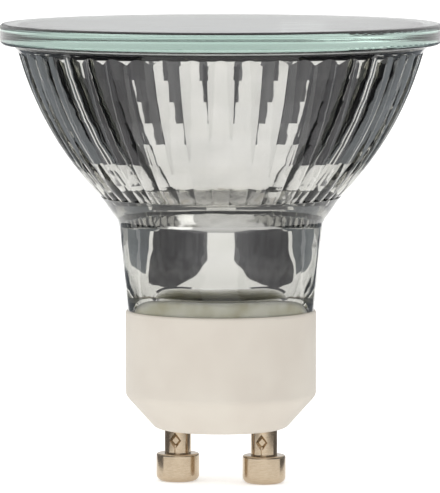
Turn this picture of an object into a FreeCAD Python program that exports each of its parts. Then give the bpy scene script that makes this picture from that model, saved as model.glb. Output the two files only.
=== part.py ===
import FreeCAD, Part
import math
import os
import Sketcher

# A halogen reflector spotlight bulb with a twist-and-lock base, in millimetres.
# It stands on its two contact pins, which lie along X, with the lamp's axis on Z and
# the lit face up. The origin is on the axis, at the underside of the pins.

doc = FreeCAD.newDocument("spotlight_bulb")
sheet = doc.addObject("Spreadsheet::Sheet", "Size")

SIZES = [
    # contact pins
    ("pin_spacing", 10.0),
    ("pin_head_diameter", 4.9),
    ("pin_head_height", 3.2),
    ("pin_head_round", 0.75),
    ("pin_shoulder_round", 0.25),
    ("pin_neck_diameter", 3.0),
    ("pin_neck_length", 3.0),
    ("pin_bore", 1.6),
    ("pin_bore_floor", 2.4),
    ("rivet_diameter", 4.4),
    ("rivet_thickness", 0.45),
    ("crimp_width", 1.7),
    ("crimp_height", 1.9),
    ("crimp_depth", 0.42),
    ("crimp_slope", 40.0),
    ("seam_width", 0.16),
    ("seam_depth", 0.3),
    ("pin_hole_clearance", 0.05),
    # ceramic base
    ("base_diameter", 21.6),
    ("base_height", 13.45),
    ("base_foot_diameter", 14.8),
    ("base_chamfer_height", 3.8),
    ("base_floor", 2.8),
    ("base_socket_diameter", 18.2),
    ("base_socket_depth", 6.0),
    ("base_chamber_diameter", 15.0),
    ("base_lip_round", 0.35),
    ("base_edge_round", 1.1),
    # glass reflector, neck
    ("neck_height", 9.95),
    ("neck_foot_diameter", 21.1),
    ("neck_top_diameter", 23.1),
    ("neck_round", 1.4),
    ("neck_wall", 2.4),
    ("bore_taper", 2.3),
    ("bore_bowl_rise", 7.55),
    ("bore_bowl_radius", 20.0),
    ("spigot_length", 2.6),
    ("spigot_clearance", 0.12),
    ("key_depth", 0.9),
    ("key_lean_angle", 29.3),
    ("key_face_radius", 11.86),
    ("key_inset", 0.06),
    ("key_gap", 0.03),
    ("collar_height", 2.9),
    ("collar_step", 0.1),
    ("reflector_turn", 12.0),
    # glass reflector, bowl
    ("bowl_height", 19.95),
    ("bowl_arc_radius", 37.8),
    ("rib_top_radius", 22.93),
    ("rib_top_drop", 0.45),
    ("rib_foot_radius", 13.48),
    ("rib_count", 46),
    ("rib_depth", 0.38),
    ("rib_sections", 7),
    ("bowl_wall", 1.5),
    ("facet_rows", 7),
    ("facet_top_drop", 0.3),
    ("throat_rise", 0.2),
    ("rim_diameter", 46.4),
    ("rim_land", 0.2),
    ("rim_flare_height", 1.0),
    ("rim_flare_width", 0.8),
    ("mouth_widening", 0.6),
    # front glass and its seal
    ("front_diameter", 50.0),
    ("front_glass_thickness", 2.35),
    ("front_edge_round", 0.55),
    ("seal_thickness", 0.2),
    ("seal_margin", 0.35),
    # quartz capsule
    ("pinch_width", 9.4),
    ("pinch_thickness", 3.0),
    ("pinch_foot_rise", 2.2),
    ("pinch_height", 11.0),
    ("bulb_diameter", 9.4),
    ("bulb_wall", 0.9),
    ("bulb_sink", 0.8),
    ("bulb_length", 15.5),
    ("bulb_foot_round", 3.1),
    ("bulb_dome_round", 3.25),
    ("tip_length", 1.6),
    ("tip_diameter", 2.2),
    ("cement_rise", 0.9),
    # leads, foils and filament
    ("lead_spacing", 3.9),
    ("lead_diameter", 0.6),
    ("lead_bend", 1.1),
    ("lead_knee_drop", 0.22),
    ("lead_knee_rise", 1.0),
    ("lead_rise", 5.4),
    ("lead_end_gap", 0.5),
    ("foil_width", 2.2),
    ("foil_height", 5.0),
    ("foil_thickness", 0.08),
    ("foil_margin", 2.4),
    ("coil_turns", 14),
    ("coil_pitch", 0.4),
    ("coil_radius", 0.42),
    ("coil_wire", 0.3),
    ("coil_tail", 0.9),
    ("hook_wire", 0.3),
    ("hook_radius", 0.55),
    ("hook_root", 3.0),
    ("hook_clearance", 0.02),
]

for row, (alias, amount) in enumerate(SIZES, start=1):
    sheet.set("A%d" % row, alias)
    sheet.set("B%d" % row, str(amount))
    sheet.setAlias("B%d" % row, alias)
doc.recompute()


def total(*terms):
    """One expression that adds up its terms."""
    return " + ".join("(%s)" % term for term in terms)


def less(first, *terms):
    """One expression that takes its later terms from the first."""
    return " - ".join("(%s)" % term for term in (first,) + terms)


def size(alias):
    return "Size." + alias


def half(alias):
    return "Size.%s / 2" % alias


def amount(expression):
    """The number that an expression of the sheet's sizes comes to."""
    return float(sheet.evalExpression(expression))


# Heights up the lamp's axis, each from the one below it.
BASE_UNDERSIDE = total(size("pin_head_height"), size("pin_neck_length"))
BASE_FLOOR = total(BASE_UNDERSIDE, size("base_floor"))
SEAT = total(BASE_UNDERSIDE, size("base_height"))
SOCKET_LEDGE = less(SEAT, size("base_socket_depth"))
SPIGOT_END = less(SEAT, size("spigot_length"))
BORE_BOWL = total(SEAT, size("bore_bowl_rise"))
CEMENT_TOP = total(SEAT, size("cement_rise"))
NECK_TOP = total(SEAT, size("neck_height"))
COLLAR_TOP = total(NECK_TOP, size("collar_height"))
RIM = total(NECK_TOP, size("bowl_height"))
RIB_TOP = less(RIM, size("rib_top_drop"))
FACET_TOP = less(RIM, size("facet_top_drop"))
FACET_FOOT = total(COLLAR_TOP, size("throat_rise"))
GLASS_UNDERSIDE = total(RIM, size("seal_thickness"))
FRONT = total(GLASS_UNDERSIDE, size("front_glass_thickness"))
PINCH_FOOT = total(SOCKET_LEDGE, size("pinch_foot_rise"))
PINCH_TOP = total(PINCH_FOOT, size("pinch_height"))
BULB_FOOT = less(PINCH_TOP, size("bulb_sink"))
BULB_TOP = total(BULB_FOOT, size("bulb_length"))
FOIL_FOOT = total(PINCH_FOOT, size("foil_margin"))
FOIL_TOP = total(FOIL_FOOT, size("foil_height"))
LEAD_TOP = total(PINCH_TOP, size("lead_rise"))
COIL_FOOT = total(LEAD_TOP, size("coil_tail"))
COIL_TOP = total(COIL_FOOT, "Size.coil_turns * Size.coil_pitch")
BRIDGE = total(COIL_TOP, size("coil_tail"))


def origin_plane(body, role):
    for feature in body.Origin.OriginFeatures:
        if feature.Role == role:
            return feature


def held(sketch, kind, geometry, point, expression):
    """Holds one point of a sketch at a distance from its origin, bound to the sheet."""
    index = sketch.addConstraint(Sketcher.Constraint(kind, -1, 1, geometry, point, amount(expression)))
    sketch.setExpression("Constraints[%d]" % index, expression)


def add_outline(sketch, corners):
    """A closed outline of straight lines whose corners are bound to the sheet."""
    first = sketch.GeometryCount
    spots = [FreeCAD.Vector(amount(across), amount(up), 0) for across, up in corners]
    for index, spot in enumerate(spots):
        sketch.addGeometry(Part.LineSegment(spot, spots[(index + 1) % len(spots)]))
    for index in range(len(spots)):
        following = first + (index + 1) % len(spots)
        sketch.addConstraint(Sketcher.Constraint("Coincident", first + index, 2, following, 1))
    for index, (across, up) in enumerate(corners):
        if across == "0":
            sketch.addConstraint(Sketcher.Constraint("PointOnObject", first + index, 1, -2))
        else:
            held(sketch, "DistanceX", first + index, 1, across)
        held(sketch, "DistanceY", first + index, 1, up)


def new_sketch(body, name, role):
    sketch = body.newObject("Sketcher::SketchObject", name)
    sketch.AttachmentSupport = [(origin_plane(body, role), "")]
    sketch.MapMode = "FlatFace"
    return sketch


def turned_body(label, corners):
    """A body turned about the lamp's axis from an outline of radius and height."""
    body = doc.addObject("PartDesign::Body", label)
    sketch = new_sketch(body, label + "_section", "XZ_Plane")
    add_outline(sketch, corners)
    turn = body.newObject("PartDesign::Revolution", label + "_turn")
    turn.Profile = sketch
    turn.ReferenceAxis = (sketch, ["V_Axis"])
    turn.Angle = 360
    doc.recompute()
    return body


def round_rings(body, name, radius, rings):
    """Rounds the circular edges that lie at the given radius and height."""
    carrier = body.Tip
    names = []
    for number, edge in enumerate(carrier.Shape.Edges, start=1):
        if not isinstance(edge.Curve, Part.Circle):
            continue
        for ring_radius, ring_height in rings:
            same_radius = abs(edge.Curve.Radius - amount(ring_radius)) < 0.001
            if same_radius and abs(edge.Curve.Center.z - amount(ring_height)) < 0.001:
                names.append("Edge%d" % number)
    feature = body.newObject("PartDesign::Fillet", name)
    feature.Base = (carrier, names)
    feature.setExpression("Radius", radius)
    doc.recompute()


def turn_about_axis(thing, angle):
    place = thing.Placement
    thing.Placement = FreeCAD.Placement(place.Base, FreeCAD.Rotation(FreeCAD.Vector(0, 0, 1), angle))


def joined(name, pieces):
    union = doc.addObject("Part::MultiFuse", name)
    union.Shapes = pieces
    return union


def cut(label, base, tool):
    rest = doc.addObject("Part::Cut", label)
    rest.Base = base
    rest.Tool = tool
    return rest


def front_glass():
    """The pressed cover glass, a flat disc with a bullnose edge."""
    edge = half("front_diameter")
    body = turned_body("front_glass", [
        ("0", GLASS_UNDERSIDE),
        (edge, GLASS_UNDERSIDE),
        (edge, FRONT),
        ("0", FRONT),
    ])
    round_rings(body, "front_glass_bullnose", size("front_edge_round"),
                [(edge, GLASS_UNDERSIDE), (edge, FRONT)])
    return body


def front_seal():
    """The thin silicone bead between the reflector's rim and the cover glass."""
    outer = less(half("rim_diameter"), size("seal_margin"))
    inner = total(mouth_radius(), size("seal_margin"))
    return turned_body("front_seal", [
        (inner, RIM),
        (outer, RIM),
        (outer, GLASS_UNDERSIDE),
        (inner, GLASS_UNDERSIDE),
    ])


def bowl_arc():
    """Centre and radius of the arc that the rib crests follow, as radius and height."""
    foot = FreeCAD.Vector(amount(size("rib_foot_radius")), amount(COLLAR_TOP), 0)
    top = FreeCAD.Vector(amount(size("rib_top_radius")), amount(RIB_TOP), 0)
    radius = amount(size("bowl_arc_radius"))
    chord = top - foot
    middle = (foot + top) * 0.5
    rise = math.sqrt(radius ** 2 - (chord.Length / 2) ** 2)
    inward = FreeCAD.Vector(-chord.y, chord.x, 0).normalize()
    return middle + inward * rise, radius


def arc_radius_at(height, inset):
    """Radius of the bowl at a height, on an arc set in from the rib crests."""
    centre, radius = bowl_arc()
    return centre.x + math.sqrt((radius - inset) ** 2 - (centre.y - height) ** 2)


def facet_inset():
    return amount(total(size("rib_depth"), size("bowl_wall")))


def mouth_radius():
    """Expression for the inner radius of the rim, a little wider than the top facet row."""
    return total("%.6f" % arc_radius_at(amount(FACET_TOP), facet_inset()), size("mouth_widening"))


def scalloped_ring(height):
    """The bowl's outside at one height: a ring of convex arcs, one for each rib."""
    crest = arc_radius_at(height, 0)
    depth = amount(size("rib_depth")) * crest / amount(size("rib_top_radius"))
    count = int(amount(size("rib_count")))
    pitch = 2 * math.pi / count
    facing = math.radians(amount(size("reflector_turn")) - 90)

    def spot(radius, angle):
        return FreeCAD.Vector(radius * math.cos(angle), radius * math.sin(angle), height)

    arcs = []
    for index in range(count):
        middle = facing + index * pitch
        start = spot(crest - depth, middle - pitch / 2)
        end = spot(crest - depth, middle + pitch / 2)
        arcs.append(Part.Arc(start, spot(crest, middle), end).toShape())
    return Part.Wire(arcs)


def ribbed_bowl():
    """The pressed ribs: a loft through scalloped rings, solid until the cavity is cut."""
    levels = int(amount(size("rib_sections")))
    foot = amount(less(COLLAR_TOP, size("collar_step")))
    top = amount(total(RIB_TOP, "Size.rim_land / 2"))
    heights = [foot + (top - foot) * index / (levels - 1) for index in range(levels)]
    ribs = doc.addObject("Part::Feature", "ribbed_bowl")
    ribs.Shape = Part.makeLoft([scalloped_ring(height) for height in heights], True, False)
    return ribs


def rim_band():
    """The plain rim, whose flared underside gives each rib an arched top."""
    edge = half("rim_diameter")
    land = less(RIM, size("rim_land"))
    return turned_body("rim_band", [
        ("0", less(land, size("rim_flare_height"))),
        (less(edge, size("rim_flare_width")), less(land, size("rim_flare_height"))),
        (edge, land),
        (edge, RIM),
        ("0", RIM),
    ])


def neck_and_collar():
    """The tapered neck with its spigot below and the plain collar under the ribs."""
    spigot = less(half("base_socket_diameter"), size("spigot_clearance"))
    collar = total(size("rib_foot_radius"), size("collar_step"))
    body = turned_body("neck_and_collar", [
        ("0", SPIGOT_END),
        (spigot, SPIGOT_END),
        (spigot, SEAT),
        (half("neck_foot_diameter"), SEAT),
        (half("neck_top_diameter"), NECK_TOP),
        (collar, COLLAR_TOP),
        ("0", COLLAR_TOP),
    ])
    round_rings(body, "neck_sweep", size("neck_round"), [(half("neck_top_diameter"), NECK_TOP)])
    return body


def key_recess(name, turn, gap):
    """The space outside a rounded face that leans in at the neck's foot, on one side, set off by a gap."""
    tilt = FreeCAD.Rotation(FreeCAD.Vector(1, 0, 0), amount(size("key_lean_angle")))
    foot = FreeCAD.Vector(0, amount(less(size("key_depth"), half("neck_foot_diameter"))), amount(SEAT))
    axis_point = foot + tilt.multVec(FreeCAD.Vector(0, amount(size("key_face_radius")), 0))
    base = axis_point - tilt.multVec(FreeCAD.Vector(0, 0, amount(size("neck_height"))))
    around = FreeCAD.Placement(FreeCAD.Vector(), FreeCAD.Rotation(FreeCAD.Vector(0, 0, 1),
                               amount(size("reflector_turn")) + turn))
    keep = doc.addObject("Part::Cylinder", "key_face_" + name)
    keep.setExpression("Radius", total(size("key_face_radius"), gap))
    keep.setExpression("Height", "3 * Size.neck_height")
    keep.Placement = around.multiply(FreeCAD.Placement(base, tilt))
    block = doc.addObject("Part::Box", "key_block_" + name)
    block.setExpression("Length", size("front_diameter"))
    block.setExpression("Width", half("front_diameter"))
    block.setExpression("Height", size("neck_height"))
    corner = FreeCAD.Vector(-amount(half("front_diameter")), -amount(half("front_diameter")), amount(SEAT))
    block.Placement = around.multiply(FreeCAD.Placement(corner, FreeCAD.Rotation()))
    return cut("key_recess_" + name, block, keep)


def cement_key(name, turn):
    """The cement that fills one recess, a little below the surface of the neck."""
    foot = less(half("neck_foot_diameter"), size("key_inset"))
    top = less(half("neck_top_diameter"), size("key_inset"))
    inner = less(half("neck_foot_diameter"), "2 * Size.key_depth")
    band = turned_body("key_band_" + name, [
        (inner, SEAT),
        (foot, SEAT),
        (top, NECK_TOP),
        (inner, NECK_TOP),
    ])
    key = doc.addObject("Part::Common", "cement_key_" + name)
    key.Base = band
    key.Tool = key_recess(name + "_fill", turn, size("key_gap"))
    return key


def faceted_cavity():
    """The bowl's hollow: straight rows of flat facets, one facet behind each rib."""
    rows = int(amount(size("facet_rows")))
    top = amount(FACET_TOP)
    foot = amount(FACET_FOOT)
    rings = [(amount(RIM), amount(mouth_radius()))]
    for row in range(rows + 1):
        height = top + (foot - top) * row / rows
        rings.append((height, arc_radius_at(height, facet_inset())))
    sections = []
    for number, (height, radius) in enumerate(rings):
        polygon = doc.addObject("Part::RegularPolygon", "facet_ring_%d" % number)
        polygon.setExpression("Polygon", size("rib_count"))
        polygon.Circumradius = radius
        half_facet = 180.0 / amount(size("rib_count"))
        polygon.Placement.Base = FreeCAD.Vector(0, 0, height)
        turn_about_axis(polygon, amount(size("reflector_turn")) - 90 + half_facet)
        sections.append(polygon)
    cavity = doc.addObject("Part::Loft", "faceted_cavity")
    cavity.Sections = sections
    cavity.Solid = True
    cavity.Ruled = True
    return cavity


def neck_bore():
    """The hollow of the neck: a tapered bore whose wall curves in towards its open foot."""
    top_radius = less(half("neck_top_diameter"), size("neck_wall"))
    drop = less(FACET_FOOT, BORE_BOWL)
    foot_radius = less(top_radius, "(%s) * tan(Size.bore_taper * 1 deg)" % drop)
    body = doc.addObject("PartDesign::Body", "neck_bore")
    sketch = new_sketch(body, "neck_bore_section", "XZ_Plane")

    radius = amount(size("bore_bowl_radius"))
    lean = math.radians(amount(size("bore_taper")))
    low = amount(SOCKET_LEDGE)
    bowl_start = FreeCAD.Vector(amount(foot_radius), amount(BORE_BOWL), 0)
    centre = bowl_start - FreeCAD.Vector(math.cos(lean), -math.sin(lean), 0) * radius
    end_angle = math.asin((low - centre.y) / radius)
    circle = Part.Circle(centre, FreeCAD.Vector(0, 0, 1), radius)
    sketch.addGeometry(Part.ArcOfCircle(circle, end_angle, -lean))
    bowl_end = FreeCAD.Vector(centre.x + radius * math.cos(end_angle), low, 0)
    corners = [bowl_start, FreeCAD.Vector(amount(top_radius), amount(FACET_FOOT), 0)]
    corners += [FreeCAD.Vector(0, amount(FACET_FOOT), 0), FreeCAD.Vector(0, low, 0), bowl_end]
    for begin, finish in zip(corners, corners[1:]):
        sketch.addGeometry(Part.LineSegment(begin, finish))
    bowl, wall, lid, axis, floor = range(5)
    sketch.addConstraint(Sketcher.Constraint("Tangent", bowl, 2, wall, 1))
    for line, following in ((wall, lid), (lid, axis), (axis, floor)):
        sketch.addConstraint(Sketcher.Constraint("Coincident", line, 2, following, 1))
    sketch.addConstraint(Sketcher.Constraint("Coincident", floor, 2, bowl, 1))
    sketch.addConstraint(Sketcher.Constraint("Horizontal", floor))
    width = sketch.addConstraint(Sketcher.Constraint("Radius", bowl, radius))
    sketch.setExpression("Constraints[%d]" % width, size("bore_bowl_radius"))
    held(sketch, "DistanceX", wall, 1, foot_radius)
    held(sketch, "DistanceY", wall, 1, BORE_BOWL)
    held(sketch, "DistanceX", wall, 2, top_radius)
    held(sketch, "DistanceY", wall, 2, FACET_FOOT)
    for line, height in ((axis, FACET_FOOT), (floor, SOCKET_LEDGE)):
        sketch.addConstraint(Sketcher.Constraint("PointOnObject", line, 1, -2))
        held(sketch, "DistanceY", line, 1, height)
    turn = body.newObject("PartDesign::Revolution", "neck_bore_turn")
    turn.Profile = sketch
    turn.ReferenceAxis = (sketch, ["V_Axis"])
    turn.Angle = 360
    doc.recompute()
    return body


def reflector(bore, recesses):
    """The one-piece pressed glass reflector: ribs outside, facet rows inside."""
    glass = joined("reflector_outside", [ribbed_bowl(), rim_band(), neck_and_collar()])
    hollow = joined("reflector_hollow", [faceted_cavity(), bore] + recesses)
    return cut("reflector", glass, hollow)


def ceramic_base():
    """The steatite base: a cup with a chamfered foot, a stepped socket and two pin holes."""
    edge = half("base_diameter")
    chamfer_top = total(BASE_UNDERSIDE, size("base_chamfer_height"))
    body = turned_body("ceramic_base", [
        ("0", BASE_UNDERSIDE),
        (half("base_foot_diameter"), BASE_UNDERSIDE),
        (edge, chamfer_top),
        (edge, SEAT),
        (half("base_socket_diameter"), SEAT),
        (half("base_socket_diameter"), SOCKET_LEDGE),
        (half("base_chamber_diameter"), SOCKET_LEDGE),
        (half("base_chamber_diameter"), BASE_FLOOR),
        ("0", BASE_FLOOR),
    ])
    round_rings(body, "ceramic_soft_edges", size("base_edge_round"),
                [(edge, chamfer_top), (half("base_foot_diameter"), BASE_UNDERSIDE)])
    round_rings(body, "ceramic_lip", size("base_lip_round"), [(edge, SEAT)])
    holes = new_sketch(body, "pin_hole_circles", "XY_Plane")
    for index, side in enumerate(("1", "-1")):
        where = "%s * Size.pin_spacing / 2" % side
        radius = total(half("pin_neck_diameter"), size("pin_hole_clearance"))
        circle = Part.Circle(FreeCAD.Vector(amount(where), 0, 0), FreeCAD.Vector(0, 0, 1), amount(radius))
        holes.addGeometry(circle)
        holes.addConstraint(Sketcher.Constraint("PointOnObject", index, 3, -1))
        held(holes, "DistanceX", index, 3, where)
        width = holes.addConstraint(Sketcher.Constraint("Radius", index, amount(radius)))
        holes.setExpression("Constraints[%d]" % width, radius)
    before = body.Shape.Volume
    pocket = body.newObject("PartDesign::Pocket", "pin_holes")
    pocket.Profile = holes
    pocket.Type = "ThroughAll"
    pocket.SideType = "Symmetric"
    doc.recompute()
    if body.Shape.Volume >= before:
        raise RuntimeError("the pin holes cut nothing")
    return body


def contact_pin(side_name, side):
    """A hollow turned pin: a wide head, a crimped neck and a rivet flare above the floor."""
    label = "contact_pin_" + side_name
    head = half("pin_head_diameter")
    neck = half("pin_neck_diameter")
    rivet_top = total(BASE_FLOOR, size("rivet_thickness"))
    body = turned_body(label, [
        ("0", "0"),
        (head, "0"),
        (head, size("pin_head_height")),
        (neck, size("pin_head_height")),
        (neck, BASE_FLOOR),
        (half("rivet_diameter"), BASE_FLOOR),
        (half("rivet_diameter"), rivet_top),
        (half("pin_bore"), rivet_top),
        (half("pin_bore"), size("pin_bore_floor")),
        ("0", size("pin_bore_floor")),
    ])
    round_rings(body, label + "_nose", size("pin_head_round"), [(head, "0")])
    round_rings(body, label + "_shoulder", size("pin_shoulder_round"), [(head, size("pin_head_height"))])
    add_crimp(body, label)
    body.setExpression("Placement.Base.x", "%s * Size.pin_spacing / 2" % side)
    return body


def add_crimp(body, label):
    """The diamond dent that grips the lead, and the seam that runs down from it."""
    middle = total(size("pin_head_height"), "Size.pin_neck_length / 2")
    dent = new_sketch(body, label + "_dent_outline", "XZ_Plane")
    dent.AttachmentOffset = FreeCAD.Placement(FreeCAD.Vector(0, 0, amount(half("pin_neck_diameter"))),
                                              FreeCAD.Rotation())
    add_outline(dent, [
        ("0", less(middle, half("crimp_height"))),
        (half("crimp_width"), middle),
        ("0", total(middle, half("crimp_height"))),
        ("-1 * Size.crimp_width / 2", middle),
    ])
    before = body.Shape.Volume
    pocket = body.newObject("PartDesign::Pocket", label + "_dent")
    pocket.Profile = dent
    pocket.setExpression("Length", size("crimp_depth"))
    pocket.setExpression("TaperAngle", "-1 * Size.crimp_slope * 1 deg")
    doc.recompute()
    if body.Shape.Volume >= before:
        raise RuntimeError("the crimp cut nothing")
    seam = new_sketch(body, label + "_seam_outline", "XZ_Plane")
    seam.AttachmentOffset = dent.AttachmentOffset
    add_outline(seam, [
        ("-1 * Size.seam_width / 2", size("pin_head_height")),
        (half("seam_width"), size("pin_head_height")),
        (half("seam_width"), middle),
        ("-1 * Size.seam_width / 2", middle),
    ])
    before = body.Shape.Volume
    slit = body.newObject("PartDesign::Pocket", label + "_seam")
    slit.Profile = seam
    slit.setExpression("Length", size("seam_depth"))
    doc.recompute()
    if body.Shape.Volume >= before:
        raise RuntimeError("the seam cut nothing")


def wire(label, diameter, path):
    """A round wire along straight runs and arcs."""
    spine = doc.addObject("Part::Feature", label + "_path")
    spine.Shape = path
    start = path.OrderedEdges[0]
    section = doc.addObject("Part::Circle", label + "_section")
    section.setExpression("Radius", diameter + " / 2")
    tangent = start.tangentAt(start.FirstParameter)
    section.Placement = FreeCAD.Placement(start.valueAt(start.FirstParameter),
                                          FreeCAD.Rotation(FreeCAD.Vector(0, 0, 1), tangent))
    sweep = doc.addObject("Part::Sweep", label)
    sweep.Sections = [section]
    sweep.Spine = (spine, ["Edge%d" % number for number in range(1, len(path.Edges) + 1)])
    sweep.Solid = True
    sweep.Frenet = False
    return sweep


def outer_lead(side_name, side):
    """A lead from its foil down out of the pinch, bent out and into the pin's bore."""
    inside = side * amount(half("lead_spacing"))
    outside = side * amount(half("pin_spacing"))
    bend = amount(size("lead_bend"))
    rivet_top = amount(total(BASE_FLOOR, size("rivet_thickness")))
    foil_foot = amount(FOIL_FOOT)
    ledge = amount(SOCKET_LEDGE)
    low = amount(total(size("pin_bore_floor"), size("lead_end_gap")))
    knee_high = FreeCAD.Vector(inside, 0, ledge - amount(size("lead_knee_drop")))
    knee_low = FreeCAD.Vector(outside, 0, rivet_top + amount(size("lead_knee_rise")))
    corners = [FreeCAD.Vector(inside, 0, foil_foot), knee_high, knee_low, FreeCAD.Vector(outside, 0, low)]
    return wire("outer_lead_" + side_name, size("lead_diameter"), rounded_path(corners, bend))


def rounded_path(corners, bend):
    """Straight runs through the corners, joined by tangent arcs of one radius."""
    edges = []
    here = corners[0]
    for before, corner, after in zip(corners, corners[1:], corners[2:]):
        back = (before - corner).normalize()
        ahead = (after - corner).normalize()
        half_angle = back.getAngle(ahead) / 2
        reach = bend / math.tan(half_angle)
        middle = (back + ahead).normalize()
        start = corner + back * reach
        end = corner + ahead * reach
        crown = corner + middle * (bend / math.sin(half_angle) - bend)
        edges.append(Part.LineSegment(here, start).toShape())
        edges.append(Part.Arc(start, crown, end).toShape())
        here = end
    edges.append(Part.LineSegment(here, corners[-1]).toShape())
    return Part.Wire(edges)


def rod(label, diameter, across, foot, top):
    """An upright round wire at a distance across from the axis."""
    cylinder = doc.addObject("Part::Cylinder", label)
    cylinder.setExpression("Radius", diameter + " / 2")
    cylinder.setExpression("Height", less(top, foot))
    cylinder.setExpression("Placement.Base.x", across)
    cylinder.setExpression("Placement.Base.z", foot)
    return cylinder


def foil(side_name, side):
    """The molybdenum foil sealed flat in the pinch, between inner and outer lead."""
    box = doc.addObject("Part::Box", "foil_" + side_name)
    box.setExpression("Length", size("foil_width"))
    box.setExpression("Width", size("foil_thickness"))
    box.setExpression("Height", size("foil_height"))
    box.setExpression("Placement.Base.x", "%s * Size.lead_spacing / 2 - Size.foil_width / 2" % side)
    box.setExpression("Placement.Base.y", "-1 * Size.foil_thickness / 2")
    box.setExpression("Placement.Base.z", FOIL_FOOT)
    return box


def coil(side_name, side):
    """One close-wound leg of the filament: rings of wire on a core, with a straight tail below."""
    across = "%d * Size.lead_spacing / 2" % side
    label = "coil_" + side_name
    pieces = [rod(label + "_core", "2 * Size.coil_radius", across, COIL_FOOT, COIL_TOP)]
    pieces.append(rod(label + "_tail", size("coil_wire"), across, LEAD_TOP, COIL_FOOT))
    for turn in range(int(amount(size("coil_turns")))):
        ring = doc.addObject("Part::Torus", "%s_turn_%d" % (label, turn + 1))
        ring.setExpression("Radius1", size("coil_radius"))
        ring.setExpression("Radius2", half("coil_wire"))
        ring.setExpression("Placement.Base.x", across)
        ring.setExpression("Placement.Base.z", total(COIL_FOOT, "(%d + 0.5) * Size.coil_pitch" % turn))
        pieces.append(ring)
    return pieces


def filament():
    """The tungsten filament: two upright coils, joined at their heads by a bridge."""
    across = amount(half("lead_spacing"))
    foot = amount(COIL_TOP)
    crown = amount(BRIDGE)
    corners = [FreeCAD.Vector(-across, 0, foot), FreeCAD.Vector(-across, 0, crown)]
    corners += [FreeCAD.Vector(across, 0, crown), FreeCAD.Vector(across, 0, foot)]
    bridge = wire("coil_bridge", size("coil_wire"), rounded_path(corners, amount(size("coil_radius"))))
    return joined("filament", coil("left", -1) + coil("right", 1) + [bridge])


def filament_hook():
    """The support wire from the pinch, curled over the filament's bridge."""
    radius = amount(size("hook_radius"))
    wire_radius = amount(half("hook_wire"))
    bridge_top = amount(total(BRIDGE, half("coil_wire")))
    shoulder = bridge_top + amount(size("hook_clearance")) - (radius - wire_radius)
    foot = amount(less(PINCH_TOP, size("hook_root")))
    start = FreeCAD.Vector(0, radius, foot)
    bend = FreeCAD.Vector(0, radius, shoulder)
    crown = FreeCAD.Vector(0, 0, shoulder + radius)
    end = FreeCAD.Vector(0, -radius, shoulder)
    path = Part.Wire([Part.LineSegment(start, bend).toShape(), Part.Arc(bend, crown, end).toShape()])
    return wire("filament_hook", size("hook_wire"), path)


def pinch():
    """The flattened foot of the quartz capsule."""
    box = doc.addObject("Part::Box", "pinch")
    box.setExpression("Length", size("pinch_width"))
    box.setExpression("Width", size("pinch_thickness"))
    box.setExpression("Height", size("pinch_height"))
    box.setExpression("Placement.Base.x", "-1 * Size.pinch_width / 2")
    box.setExpression("Placement.Base.y", "-1 * Size.pinch_thickness / 2")
    box.setExpression("Placement.Base.z", PINCH_FOOT)
    return box


def bulb():
    """The quartz tube: rounded at its foot, domed at its head, with the sealed-off tip."""
    outer = half("bulb_diameter")
    body = turned_body("bulb", [
        ("0", BULB_FOOT),
        (outer, BULB_FOOT),
        (outer, BULB_TOP),
        (half("tip_diameter"), BULB_TOP),
        ("0", total(BULB_TOP, size("tip_length"))),
    ])
    round_rings(body, "bulb_foot", size("bulb_foot_round"), [(outer, BULB_FOOT)])
    round_rings(body, "bulb_dome", size("bulb_dome_round"), [(outer, BULB_TOP)])
    return body


def bulb_hollow():
    """The gas space inside the quartz tube."""
    inner = less(half("bulb_diameter"), size("bulb_wall"))
    foot = total(PINCH_TOP, size("bulb_wall"))
    top = less(BULB_TOP, size("bulb_wall"))
    body = turned_body("bulb_hollow", [
        ("0", foot),
        (inner, foot),
        (inner, top),
        ("0", top),
    ])
    round_rings(body, "bulb_hollow_foot", less(size("bulb_foot_round"), size("bulb_wall")), [(inner, foot)])
    round_rings(body, "bulb_hollow_dome", less(size("bulb_dome_round"), size("bulb_wall")), [(inner, top)])
    return body


def cement_fill(bore):
    """The cement that holds the capsule in the neck and the neck in the base."""
    socket = less(half("base_socket_diameter"), size("spigot_clearance"))
    bed = turned_body("cement_bed", [
        ("0", SOCKET_LEDGE),
        (socket, SOCKET_LEDGE),
        (socket, SPIGOT_END),
        ("0", SPIGOT_END),
    ])
    plug = doc.addObject("Part::Cylinder", "cement_plug_blank")
    plug.setExpression("Radius", half("base_socket_diameter"))
    plug.setExpression("Height", less(CEMENT_TOP, SPIGOT_END))
    plug.setExpression("Placement.Base.z", SPIGOT_END)
    fitted = doc.addObject("Part::Common", "cement_plug")
    fitted.Base = plug
    fitted.Tool = bore
    return joined("cement_fill", [bed, fitted])


def build():
    """Every sub-part of the lamp, each as one document object."""
    sides = (("left", -1), ("right", 1))
    faces = (("front", 0), ("back", 180))
    recesses = [key_recess(name, turn, "0") for name, turn in faces]
    bore = neck_bore()
    nodes = [front_glass(), front_seal(), reflector(bore, recesses), ceramic_base()]
    nodes += [cement_key(name, turn) for name, turn in faces]
    nodes += [contact_pin(name, side) for name, side in sides]
    foils = [foil(name, side) for name, side in sides]
    inner_leads = []
    for name, side in sides:
        across = "%d * Size.lead_spacing / 2" % side
        inner_leads.append(rod("inner_lead_" + name, size("lead_diameter"), across, FOIL_TOP, LEAD_TOP))
    outer_leads = [outer_lead(name, side) for name, side in sides]
    hook = filament_hook()
    quartz_foot = pinch()
    metal = joined("sealed_metal", foils + inner_leads + outer_leads + [hook, bulb_hollow()])
    quartz = joined("quartz_blank", [bulb(), quartz_foot])
    envelope = cut("capsule_envelope", quartz, metal)
    cement = cut("cement", cement_fill(bore), joined("cement_passages", [quartz_foot] + outer_leads))
    nodes += foils + inner_leads + outer_leads + [hook, filament(), envelope, cement]
    return nodes


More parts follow.
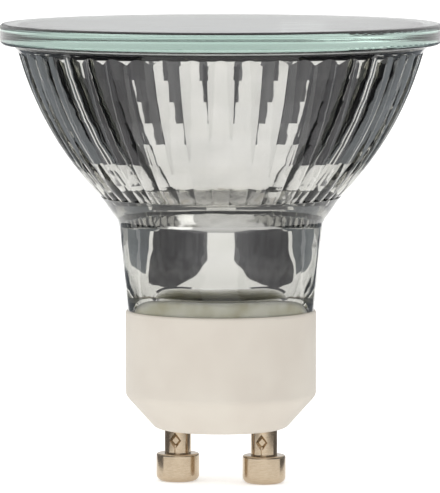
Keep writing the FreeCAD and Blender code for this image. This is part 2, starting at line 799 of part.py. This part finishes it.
def check(nodes):
    """Stops before anything is written if a feature failed or a shape is unsound."""
    doc.recompute()
    for thing in doc.Objects:
        if "Invalid" in thing.State or "Error" in thing.State:
            raise RuntimeError("%s failed: %s" % (thing.Name, thing.State))
    for node in nodes:
        if node.Shape.isNull() or not node.Shape.isValid():
            raise RuntimeError("%s has no sound shape" % node.Label)
        if len(node.Shape.Solids) != 1:
            raise RuntimeError("%s has %d solids" % (node.Label, len(node.Shape.Solids)))


def write(nodes):
    os.makedirs("parts", exist_ok=True)
    for node in nodes:
        box = node.Shape.BoundBox
        print("%-20s volume %9.3f  z %.2f to %.2f" % (node.Label, node.Shape.Volume, box.ZMin, box.ZMax))
        node.Shape.exportStep("parts/%s.step" % node.Label)


bulb_nodes = build()
check(bulb_nodes)
write(bulb_nodes)
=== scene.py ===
# %% [markdown]
# # A halogen reflector spotlight bulb
# The lamp is a pressed glass reflector with a mirror lining, closed by a flat cover glass and cemented
# into a ceramic base with two contact pins. Its solids are made already, so this lesson loads them as a
# fixed frame, adds what is thinner than a solid, and gives each piece the finish of its real material.

# %% Load the solids
import math

import bmesh
import bpy
from mathutils import Matrix, Vector


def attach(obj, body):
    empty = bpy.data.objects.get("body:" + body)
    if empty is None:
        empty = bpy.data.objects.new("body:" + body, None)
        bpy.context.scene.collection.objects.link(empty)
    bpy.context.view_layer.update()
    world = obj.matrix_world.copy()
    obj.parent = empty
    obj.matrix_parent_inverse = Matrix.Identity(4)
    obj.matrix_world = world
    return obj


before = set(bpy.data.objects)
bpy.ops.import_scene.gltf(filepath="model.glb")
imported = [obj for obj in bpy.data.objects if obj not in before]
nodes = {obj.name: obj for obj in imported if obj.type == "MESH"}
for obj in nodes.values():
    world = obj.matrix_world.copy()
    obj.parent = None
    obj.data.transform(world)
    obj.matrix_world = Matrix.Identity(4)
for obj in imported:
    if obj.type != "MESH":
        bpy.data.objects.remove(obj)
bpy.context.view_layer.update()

print("solids:", ", ".join(sorted(nodes)))

# %% [markdown]
# ## The camera
# A short lens close by would bend the rim and swell the nearer pin. A long lens from just over half a metre
# keeps the rim almost straight, as a product photograph does. The camera stands a little above the cover
# glass, turned so that the right-hand pin is the nearer one.

# %% Place the camera
MM = 0.001
VIEW_TURN = math.radians(12.0)
CAMERA_DISTANCE = 600.0 * MM
CAMERA_HEIGHT = 78.0 * MM
AIM_HEIGHT = 26.8 * MM
AIM_SIDEWAYS = -0.1 * MM
FIELD_HEIGHT = 55.8 * MM
SENSOR_SIDE = 36.0
NEAREST, FARTHEST = 0.01, 20.0

to_camera = Vector((math.sin(VIEW_TURN), -math.cos(VIEW_TURN), 0.0))
to_right = Vector((math.cos(VIEW_TURN), math.sin(VIEW_TURN), 0.0))
UP = Vector((0.0, 0.0, 1.0))
aim = to_right * AIM_SIDEWAYS + UP * AIM_HEIGHT
stand = to_camera * CAMERA_DISTANCE + UP * CAMERA_HEIGHT
lens = bpy.data.cameras.new("studio_camera")
lens.sensor_width = SENSOR_SIDE
lens.lens = SENSOR_SIDE * (stand - aim).length / FIELD_HEIGHT
lens.clip_start = NEAREST
lens.clip_end = FARTHEST
camera = bpy.data.objects.new("studio_camera", lens)
camera.location = stand
camera.rotation_mode = "QUATERNION"
camera.rotation_quaternion = (aim - stand).to_track_quat("-Z", "Y")
bpy.context.scene.collection.objects.link(camera)
bpy.context.scene.camera = camera
print("lens", round(lens.lens, 1), "mm at", round((stand - aim).length / MM), "mm")

# %% [markdown]
# ## Helpers for colours and nodes
# Colours are picked as sRGB hex values, as on a paint chip, but shaders count light linearly, so one
# function converts them by the standard's own curve. Another adds one shader node with its settings and
# links, which keeps each recipe below to a few lines.

# %% Colours and nodes
def linear(hex_colour):
    """An sRGB hex colour as the linear RGBA that shader sockets take."""
    channels = [int(hex_colour[place:place + 2], 16) / 255 for place in (1, 3, 5)]
    curve = [c / 12.92 if c <= 0.04045 else ((c + 0.055) / 1.055) ** 2.4 for c in channels]
    return (*curve, 1.0)


def add_node(tree, kind, settings=None, links=None):
    """Adds one shader node with its settings, by socket, and the links that feed its other sockets."""
    node = tree.nodes.new("ShaderNode" + kind)
    for socket, value in (settings or {}).items():
        node.inputs[socket].default_value = value
    for socket, source in (links or {}).items():
        tree.links.new(source, node.inputs[socket])
    return node


print("half grey in linear light:", round(linear("#808080")[0], 3))

# %% [markdown]
# ## Patterns
# No real surface is the same all over. Its drift could be painted as a picture and wrapped round the lamp,
# but noise in object space needs no wrapping, and its spots have a size in millimetres that holds from every
# side. One function lays out such a grain, and another lets colour, roughness and relief follow it.

# %% Grain and what follows it
EVEN = (1.0, 1.0, 1.0)
COLOUR_SPAN = (0.35, 0.65)
ROUGHNESS_SPAN = (0.3, 0.7)


def grain(tree, size_mm, stretch=EVEN, detail=2.0):
    """Noise in object space with spots of a size in millimetres, squeezed by a factor along each axis."""
    place = add_node(tree, "TexCoord")
    squeeze = add_node(tree, "Mapping", {"Scale": stretch}, {"Vector": place.outputs["Object"]})
    noise = add_node(tree, "TexNoise", {"Scale": 1.0 / (size_mm * MM), "Detail": detail},
                     {"Vector": squeeze.outputs["Vector"]})
    return noise.outputs["Fac"]


def follow(tree, pattern, colours=None, roughness=None, depth_mm=None):
    """Links for a shader whose colour, roughness or relief goes from low to high as a pattern rises."""
    links = {}
    if colours:
        ramp = add_node(tree, "ValToRGB", links={"Fac": pattern})
        for stop, place, colour in zip(ramp.color_ramp.elements, COLOUR_SPAN, colours):
            stop.position = place
            stop.color = linear(colour)
        links["Base Color"] = ramp.outputs["Color"]
    if roughness:
        polish = add_node(tree, "MapRange", {
            "From Min": ROUGHNESS_SPAN[0], "From Max": ROUGHNESS_SPAN[1],
            "To Min": roughness[0], "To Max": roughness[1]}, {"Value": pattern})
        links["Roughness"] = polish.outputs["Result"]
    if depth_mm:
        bump = add_node(tree, "Bump", {"Distance": depth_mm * MM}, {"Height": pattern})
        links["Normal"] = bump.outputs["Normal"]
    return links


print("colour follows the noise over", COLOUR_SPAN, "and roughness over", ROUGHNESS_SPAN)

# %% [markdown]
# ## Three kinds of glass
# The reflector is borosilicate glass, pressed hot in a mould, so its surface waves a little and the mirror
# image behind it wavers. The cover is soda-lime glass, and iron in it swallows red light, which shows most
# where light has a long way to go: as a teal band at the edge. The capsule is drawn quartz. A thin
# see-through shader would do for a window pane, but only true refraction bends the mirror image in each rib.
# So all three share one recipe: full transmission with the glass's own IOR, a slight wave, faint level cords
# where the melt was uneven, and for the first two a body colour that grows with depth.

# %% Glass recipe
CORD_MM = 2.5
LEVEL_CORDS = (0.12, 0.12, 1.0)


def new_finish(name):
    """An empty node material and its tree."""
    finish = bpy.data.materials.new(name)
    finish.use_nodes = True
    finish.node_tree.nodes.clear()
    return finish, finish.node_tree


def shade(tree, settings, links):
    """Ends a finish with its shader and the output, and gives the output back."""
    shader = add_node(tree, "BsdfPrincipled", settings, links)
    return add_node(tree, "OutputMaterial", links={"Surface": shader.outputs["BSDF"]})


def glass_finish(name, tints, roughness, ior, wave_mm, wave_depth_mm, body_colour=None, body_density=0.0):
    """Clear glass: two close tints for its cords, a wave, and what its body swallows per metre."""
    finish, tree = new_finish(name)
    ripple = grain(tree, wave_mm, detail=0.0)
    cords = grain(tree, CORD_MM, LEVEL_CORDS, detail=1.0)
    out = shade(tree, {"Roughness": roughness, "IOR": ior, "Transmission Weight": 1.0},
                {**follow(tree, cords, tints), **follow(tree, ripple, depth_mm=wave_depth_mm)})
    if body_colour:
        body = add_node(tree, "VolumeAbsorption", {"Color": linear(body_colour), "Density": body_density})
        tree.links.new(body.outputs["Volume"], out.inputs["Volume"])
    return finish


# %% Dress the glass
def dress(finish, *names):
    """Puts a finish on the slots of the named solids."""
    for name in names:
        nodes[name].material_slots[0].material = finish
    print(finish.name, "on", ", ".join(names))


# Pressed glass gives the eye a soft waver and a hint of yellow-green where it is thick.
pressed_glass = glass_finish("borosilicate_glass_pressed", ("#FAFAF8", "#FFFFFF"), roughness=0.02, ior=1.48,
                             wave_mm=1.6, wave_depth_mm=0.045, body_colour="#F1F3CE", body_density=26.0)
dress(pressed_glass, "reflector")
# Soda-lime glass gives the eye a clear face and a teal edge.
soda_glass = glass_finish("soda_lime_glass_pressed", ("#F2F9F6", "#FFFFFF"), roughness=0.03, ior=1.52,
                          wave_mm=4.0, wave_depth_mm=0.006, body_colour="#8FCBB6", body_density=17.0)
dress(soda_glass, "front_glass")
# Quartz gives the eye a bright outline and no colour.
quartz = glass_finish("fused_quartz_drawn", ("#FBFBFB", "#FFFFFF"), roughness=0.0, ior=1.458,
                      wave_mm=2.0, wave_depth_mm=0.003)
dress(quartz, "capsule_envelope")

# %% [markdown]
# ## The mirror lining
# The inside of the bowl is coated with a film of aluminium far too thin to be a solid. It follows the flat
# facets of the bowl, one facet behind each outer rib, then the smooth bore of the neck, which curves in
# below. Light enters the ribs, meets the back of the film and leaves through the ribs again, while inside
# the bowl the free face is a far brighter mirror. The glass itself could be given a metal inside, but then
# its outside would stop being clear, so each face of the film is a skin of its own. The two lie a hair to
# either side of the glass face, because two faces in one place render black.

# %% Profile of the lining, in millimetres, from the mouth down to the neck's foot
FACETS = 46
ROWS = 7
REFLECTOR_TURN = math.radians(12.0)
BOWL_ARC_RADIUS, RIB_DEPTH, BOWL_WALL = 37.8, 0.38, 1.5
ARC_CENTRE = (-13.58, 58.89)
ARC_RADIUS = BOWL_ARC_RADIUS - RIB_DEPTH - BOWL_WALL
ROW_TOP, ROW_FOOT = 49.25, 32.7
RIM = 49.55
MOUTH_STEP = 0.6
BORE_TOP, BORE_TAPER = 9.15, math.radians(2.3)
CURVE_TOP, CURVE_RADIUS = 27.2, 20.0
CURVE_FOOT = 17.2
SUNK = 0.02


def facet_radius(height):
    """Corner radius of the facet ring at a height."""
    return ARC_CENTRE[0] + math.sqrt(ARC_RADIUS ** 2 - (ARC_CENTRE[1] - height) ** 2)


heights = [ROW_TOP + (ROW_FOOT - ROW_TOP) * row / ROWS for row in range(ROWS + 1)]
print("facet rings:", [(round(facet_radius(height), 2), round(height, 2)) for height in heights])

# %% [markdown]
# One line down the bowl is spun round the axis in forty-six steps, which leaves the facets flat. The bore's
# line is drawn the same way, its curve by turning the last point about the curve's own centre, and then spun
# in finer steps and shaded smooth. A cone with many sides could be cut and tapered row by row instead, but a
# drawn line shows the lamp's profile at a glance.

# %% Spin the facets and the bore
MIDDLE = Vector((0.0, 0.0, 0.0))
CROSSWAYS = Vector((0.0, 1.0, 0.0))
FULL_TURN = 2 * math.pi
BORE_STEPS = 3 * FACETS
CURVE_STEPS = 24


def drawn_line(work, points):
    """A chain of edges in the XZ plane through radius and height pairs, given in millimetres."""
    spots = [work.verts.new((radius * MM, 0.0, height * MM)) for radius, height in points]
    edges = [work.edges.new(pair) for pair in zip(spots, spots[1:])]
    return spots, edges


def spin_round(work, line, steps):
    """Spins a line once round the lamp's axis and closes the seam."""
    bmesh.ops.spin(work, geom=line, axis=UP, cent=MIDDLE, angle=FULL_TURN, steps=steps, use_merge=True)


def spin_facets(skin, depth):
    """The rows of flat facets, each facet behind a rib, and the mouth's step on the back of the film."""
    rings = [(facet_radius(height) + depth, height) for height in heights]
    if depth > 0:
        rings.insert(0, (facet_radius(ROW_TOP) + MOUTH_STEP + depth, RIM - depth))
    spots, edges = drawn_line(skin, rings)
    spin_round(skin, spots + edges, FACETS)
    half_facet = math.pi / FACETS
    turn = Matrix.Rotation(REFLECTOR_TURN - FULL_TURN / 4 + half_facet, 3, "Z")
    bmesh.ops.rotate(skin, verts=skin.verts[:], cent=MIDDLE, matrix=turn)


def spin_bore(skin, depth):
    """The ledge under the facets, the tapered bore and the curve below it."""
    ledge = ROW_FOOT - depth
    bore_foot = BORE_TOP - (ROW_FOOT - CURVE_TOP) * math.tan(BORE_TAPER)
    corners = drawn_line(skin, [(facet_radius(ROW_FOOT) + depth, ledge), (BORE_TOP + depth, ledge),
                                (bore_foot + depth, CURVE_TOP)])[0]
    turn_centre = Vector((bore_foot - CURVE_RADIUS * math.cos(BORE_TAPER), 0.0,
                          CURVE_TOP + CURVE_RADIUS * math.sin(BORE_TAPER)))
    sweep = math.asin((turn_centre.z - CURVE_FOOT) / CURVE_RADIUS) - BORE_TAPER
    bmesh.ops.spin(skin, geom=[corners[-1]], axis=CROSSWAYS, cent=turn_centre * MM, angle=sweep,
                   steps=CURVE_STEPS)
    spots = [spot for spot in skin.verts if spot.is_wire]
    edges = [edge for edge in skin.edges if edge.is_wire]
    spin_round(skin, spots + edges, BORE_STEPS)


print("bore in", BORE_STEPS, "steps, its curve in", CURVE_STEPS)

# %% Join them to a skin
WELD = 0.001
LEDGE_SLACK = 0.01


def lining_skin(depth):
    """One face of the film, at a depth in millimetres inside the glass, or in front of it if negative."""
    skin = bmesh.new()
    spin_facets(skin, depth)
    spin_bore(skin, depth)
    bmesh.ops.remove_doubles(skin, verts=skin.verts[:], dist=WELD * MM)
    bmesh.ops.recalc_face_normals(skin, faces=skin.faces[:])
    ledge = (ROW_FOOT - depth) * MM
    for face in skin.faces:
        face.smooth = face.calc_center_median().z < ledge - LEDGE_SLACK * MM
    for edge in skin.edges:
        edge.smooth = not all(abs(spot.co.z - ledge) < LEDGE_SLACK * MM for spot in edge.verts)
    return skin


def mesh_object(name, work, material):
    """Turns a bmesh into an object of the scene with one material."""
    mesh = bpy.data.meshes.new(name)
    work.to_mesh(mesh)
    work.free()
    mesh.materials.append(material)
    piece = bpy.data.objects.new(name, mesh)
    bpy.context.scene.collection.objects.link(piece)
    print(name, len(mesh.polygons), "faces")
    return piece


def lamp_piece(name, work, material):
    """Turns a bmesh into a piece that rides on the lamp and takes its finish from a slot."""
    piece = mesh_object(name, work, material)
    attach(piece, "root")


# %% [markdown]
# ## Metal finishes
# Every metal here is drawn, turned or evaporated, and each process leaves marks of its own: streaks, rings
# or a haze. An anisotropic shader could stretch the highlights alone, but marks in the colour and the
# roughness also show where no highlight falls. So one recipe serves all: noise, squeezed where the marks have
# a direction. Those of a drawing die are microns wide, too fine to show, so they are drawn some tenths of a
# millimetre wide.

# %% Metal recipe
RINGS = (0.15, 0.15, 1.0)


def metal_finish(name, colours, roughness, streak_mm, stretch, groove_mm):
    """Metal with streaks: two colours, two roughnesses, and grooves of a depth in millimetres."""
    finish, tree = new_finish(name)
    streak = grain(tree, streak_mm, stretch)
    shade(tree, {"Metallic": 1.0}, follow(tree, streak, colours, roughness, groove_mm))
    return finish


# %% Dress the metal
# Evaporated aluminium, seen through the glass it lies on, gives the eye a greyer mirror with a faint haze.
film = metal_finish("aluminium_film_evaporated", ("#BFBEBD", "#CBCAC9"), (0.04, 0.06),
                    streak_mm=6.0, stretch=EVEN, groove_mm=0.0005)
lamp_piece("mirror_lining", lining_skin(SUNK), film)
# The film's free face, inside the bowl, gives the eye a bright and cloudless mirror.
film_face = metal_finish("aluminium_mirror_evaporated", ("#EDEDEC", "#F4F4F3"), (0.03, 0.05),
                         streak_mm=6.0, stretch=EVEN, groove_mm=0.0003)
lamp_piece("mirror_face", lining_skin(-SUNK), film_face)
# Nickel worn thin over brass gives the eye a champagne sheen with faint turning marks.
plated_brass = metal_finish("brass_nickel_plated_turned", ("#BDAA92", "#C4B49D"), (0.20, 0.16),
                            streak_mm=0.08, stretch=RINGS, groove_mm=0.0001)
dress(plated_brass, "contact_pin_left", "contact_pin_right")
# Drawn tungsten gives the eye a dark grey coil that glints along its turns.
tungsten = metal_finish("tungsten_wire_drawn", ("#6E6D6B", "#8F8E8B"), (0.30, 0.42),
                        streak_mm=0.3, stretch=EVEN, groove_mm=0.001)
dress(tungsten, "filament")
# Rolled and drawn molybdenum gives the eye a cooler, smoother grey than the coil.
molybdenum = metal_finish("molybdenum_drawn", ("#8E9094", "#B4B6BA"), (0.22, 0.34),
                          streak_mm=0.5, stretch=RINGS, groove_mm=0.001)
dress(molybdenum, "filament_hook", "foil_left", "foil_right", "inner_lead_left", "inner_lead_right")
# Nickel wire gives the eye a warm white metal with a soft gloss.
nickel_wire = metal_finish("nickel_wire_drawn", ("#A9A59D", "#CFCBC2"), (0.25, 0.38),
                           streak_mm=0.4, stretch=RINGS, groove_mm=0.001)
dress(nickel_wire, "outer_lead_left", "outer_lead_right")

# %% [markdown]
# ## Mineral finishes
# The base is steatite, a soapstone powder pressed dry and fired without a glaze. The cement is sand in a
# silicate binder, and the cover sits on a line of silicone. Each could have a shader of its own, but all
# three are dull bodies whose colour drifts a little and whose skin is grainy, so they share a recipe with a
# broad drift, a fine grain and a shallow bump. The powder's grain is too fine to show, so it is drawn a
# quarter of a millimetre wide.

# %% Mineral recipe
def mineral_finish(name, colours, drift_mm, grain_mm, grain_depth_mm, roughness, glow_mm=0.0):
    """A dull body: a colour that drifts, a fine grain that roughens the skin, and light that seeps in."""
    finish, tree = new_finish(name)
    drift = grain(tree, drift_mm)
    fine = grain(tree, grain_mm, detail=4.0)
    seep = {"Subsurface Weight": 1.0, "Subsurface Radius": EVEN, "Subsurface Scale": glow_mm * MM}
    shade(tree, seep if glow_mm else {}, {
        **follow(tree, drift, colours),
        **follow(tree, fine, roughness=roughness, depth_mm=grain_depth_mm)})
    return finish


# %% Dress the ceramic, cement and silicone
# Fired steatite gives the eye a warm off-white with a satin skin.
steatite = mineral_finish("steatite_pressed_fired", ("#D0C8BD", "#D5CEC3"), drift_mm=6.0, grain_mm=0.25,
                          grain_depth_mm=0.006, roughness=(0.48, 0.6))
dress(steatite, "ceramic_base")
# Cured cement gives the eye an olive grey with sandy clouds.
cement = mineral_finish("lamp_cement_cured", ("#93917D", "#AAA99D"), drift_mm=3.0, grain_mm=0.12,
                        grain_depth_mm=0.02, roughness=(0.5, 0.7), glow_mm=1.5)
dress(cement, "cement", "cement_key_front", "cement_key_back")
# Silicone gives the eye a pale, slightly wet line under the cover.
silicone = mineral_finish("silicone_adhesive_cured", ("#D5D7D4", "#E4E6E3"), drift_mm=2.0, grain_mm=0.4,
                          grain_depth_mm=0.004, roughness=(0.25, 0.35))
dress(silicone, "front_seal")

# %% [markdown]
# ## The cement joint
# Cement wets the glass where the spigot and the neck's foot meet the base, and the mirror film shows that
# wet joint all round the neck. The solids leave a thin gap of air there, which would show black from the
# sides. The joint has no thickness, so it is spun like the lining, a hair inside the glass.

# %% Model and dress the joint
SPIGOT_RADIUS, SPIGOT_FOOT = 8.98, 17.1
NECK_FOOT_RADIUS, NECK_FOOT = 10.55, 19.65
JOINT_SUNK = 0.03
joint = bmesh.new()
joint_spots, joint_edges = drawn_line(joint, [
    (SPIGOT_RADIUS - JOINT_SUNK, SPIGOT_FOOT), (SPIGOT_RADIUS - JOINT_SUNK, NECK_FOOT + JOINT_SUNK),
    (NECK_FOOT_RADIUS - JOINT_SUNK, NECK_FOOT + JOINT_SUNK)])
spin_round(joint, joint_spots + joint_edges, BORE_STEPS)
bmesh.ops.recalc_face_normals(joint, faces=joint.faces[:])
# Cement seen through glass gives the eye a paler, wetter grey than the bare fill.
joint_cement = mineral_finish("lamp_cement_on_glass", ("#A9A797", "#CAC9BD"), drift_mm=1.6, grain_mm=0.12,
                              grain_depth_mm=0.01, roughness=(0.35, 0.5))
lamp_piece("cement_joint", joint, joint_cement)

# %% [markdown]
# ## The sweep
# A white paper sweep lies under and behind the lamp. Lamps alone would have to be very strong to turn it
# white, and would glare in the mirror, so the paper is lit through from behind and glows a little.

# %% Lay the sweep
WHITE = (1.0, 1.0, 1.0, 1.0)
FIBRE_MM = 8.0
PAPER_ROUGHNESS, PAPER_SHINE = 0.9, 0.1
SWEEP_HALF, SWEEP_GLOW = 3.0, 0.4


def card_finish(name, colours, glow=0.0):
    """Matt card or paper with a faint fibre, lit through from behind by as much as the glow."""
    finish, tree = new_finish(name)
    shade(tree, {"Roughness": PAPER_ROUGHNESS, "Specular IOR Level": PAPER_SHINE, "Emission Color": WHITE,
                 "Emission Strength": glow}, follow(tree, grain(tree, FIBRE_MM), colours))
    return finish


def stage_piece(name, work, material):
    """Turns a bmesh into an object of the studio, which is no part of the lamp."""
    piece = mesh_object(name, work, material)
    return piece


sweep = bmesh.new()
bmesh.ops.create_grid(sweep, x_segments=1, y_segments=1, size=SWEEP_HALF)
stage_piece("floor", sweep, card_finish("paper_sweep_white", ("#F5F5F4", "#F8F8F7"), SWEEP_GLOW))

# %% [markdown]
# ## The cards
# Glass and mirror have no shade of their own and would vanish against white, so a photographer sets dark
# cards round them to draw their outlines. Here a bent row of dark and grey cards stands at each side, and a
# low one beside each pin. In a real studio they stay out of the picture. Here only reflections and
# refractions see them, so they can stand as near as the lamp needs, and they leave no shadow.

# %% Set up the cards
# A row holds a card's name, its front and back ends as (sideways, towards the camera), the heights of its
# foot and top, how far its top leans towards the camera, and its finish. All sizes are in millimetres.
dark_card = card_finish("card_black_matt", ("#646468", "#7A7A7E"))
grey_card = card_finish("card_grey_matt", ("#858A90", "#92979D"))
CARD_LINES = [
    ("front", (33.0, 105.0), (29.0, 42.0), 0.5, 37.0, 0.0, dark_card),
    ("corner", (29.0, 42.0), (34.0, 8.0), 0.5, 37.0, 0.0, dark_card),
    ("side", (34.0, 8.0), (43.0, -21.5), 0.5, 37.0, 32.0, dark_card),
    ("grey", (43.0, -20.8), (47.0, -112.0), 7.0, 43.0, 31.8, grey_card),
    ("low", (18.0, 2.0), (20.0, -26.0), 0.1, 4.5, 0.0, dark_card),
]
HALF_UNIT = 0.5


def card_grid(side, front_end, back_end, foot, top, lean):
    """A grid of one unit, stretched along a card's length and height by a matrix and set in its place."""
    ends = [(to_right * side * across + to_camera * along) * MM for across, along in (front_end, back_end)]
    length = ends[1] - ends[0]
    height = (UP * (top - foot) + to_camera * lean) * MM
    lie = Matrix((length, height, length.cross(height).normalized())).transposed().to_4x4()
    lie.translation = (ends[0] + ends[1] + height) / 2 + UP * foot * MM
    card = bmesh.new()
    bmesh.ops.create_grid(card, x_segments=1, y_segments=1, size=HALF_UNIT, matrix=lie)
    return card


for side_name, side in (("left", -1), ("right", 1)):
    for card_name, *outline, finish in CARD_LINES:
        flag = stage_piece("card_%s_%s" % (card_name, side_name), card_grid(side, *outline), finish)
        flag.visible_camera = False
        flag.visible_diffuse = False
        flag.visible_shadow = False

# %% [markdown]
# ## The sky
# A plain white world would fill the mirror with one flat white. A pale sky that dims towards the horizon
# gives every facet a shade of its own, by the height that it looks at. The Standard view keeps white paper
# white, where a film-like view would grey it.

# %% Hang the sky
HORIZON_LIGHT, SKY_LIGHT, SKY_RISE = 0.66, 0.95, 0.35
world = bpy.data.worlds.new("studio_sky")
world.use_nodes = True
bpy.context.scene.world = world
sky_tree = world.node_tree
look = add_node(sky_tree, "TexCoord")
parts = add_node(sky_tree, "SeparateXYZ", links={"Vector": look.outputs["Generated"]})
light = add_node(sky_tree, "MapRange", {
    "From Min": 0.0, "From Max": SKY_RISE, "To Min": HORIZON_LIGHT, "To Max": SKY_LIGHT},
    {"Value": parts.outputs["Z"]})
background = sky_tree.nodes["Background"]
background.inputs["Color"].default_value = WHITE
sky_tree.links.new(light.outputs["Result"], background.inputs["Strength"])
bpy.context.scene.view_settings.view_transform = "Standard"
print("sky from", HORIZON_LIGHT, "at the horizon to", SKY_LIGHT)

# %% [markdown]
# ## The softbox
# One broad softbox stands to the left of the camera, weak enough to leave no glare on the glass. A bare bulb
# would leave one and cast a hard shadow too. The box makes the left of the ceramic a shade lighter than the
# right, which is all the modelling the photograph has.

# %% Hang the softbox
SOFTBOX_WIDTH, SOFTBOX_POWER = 0.4, 0.6
SOFTBOX_SIDEWAYS, SOFTBOX_FORWARD, SOFTBOX_HEIGHT = -0.5, 0.3, 0.4
softbox_light = bpy.data.lights.new("softbox", "AREA")
softbox_light.size = SOFTBOX_WIDTH
softbox_light.energy = SOFTBOX_POWER
softbox = bpy.data.objects.new("softbox", softbox_light)
softbox.location = to_right * SOFTBOX_SIDEWAYS + to_camera * SOFTBOX_FORWARD + UP * SOFTBOX_HEIGHT
softbox.rotation_mode = "QUATERNION"
softbox.rotation_quaternion = (aim - softbox.location).to_track_quat("-Z", "Y")
bpy.context.scene.collection.objects.link(softbox)
print("softbox", SOFTBOX_POWER, "W")
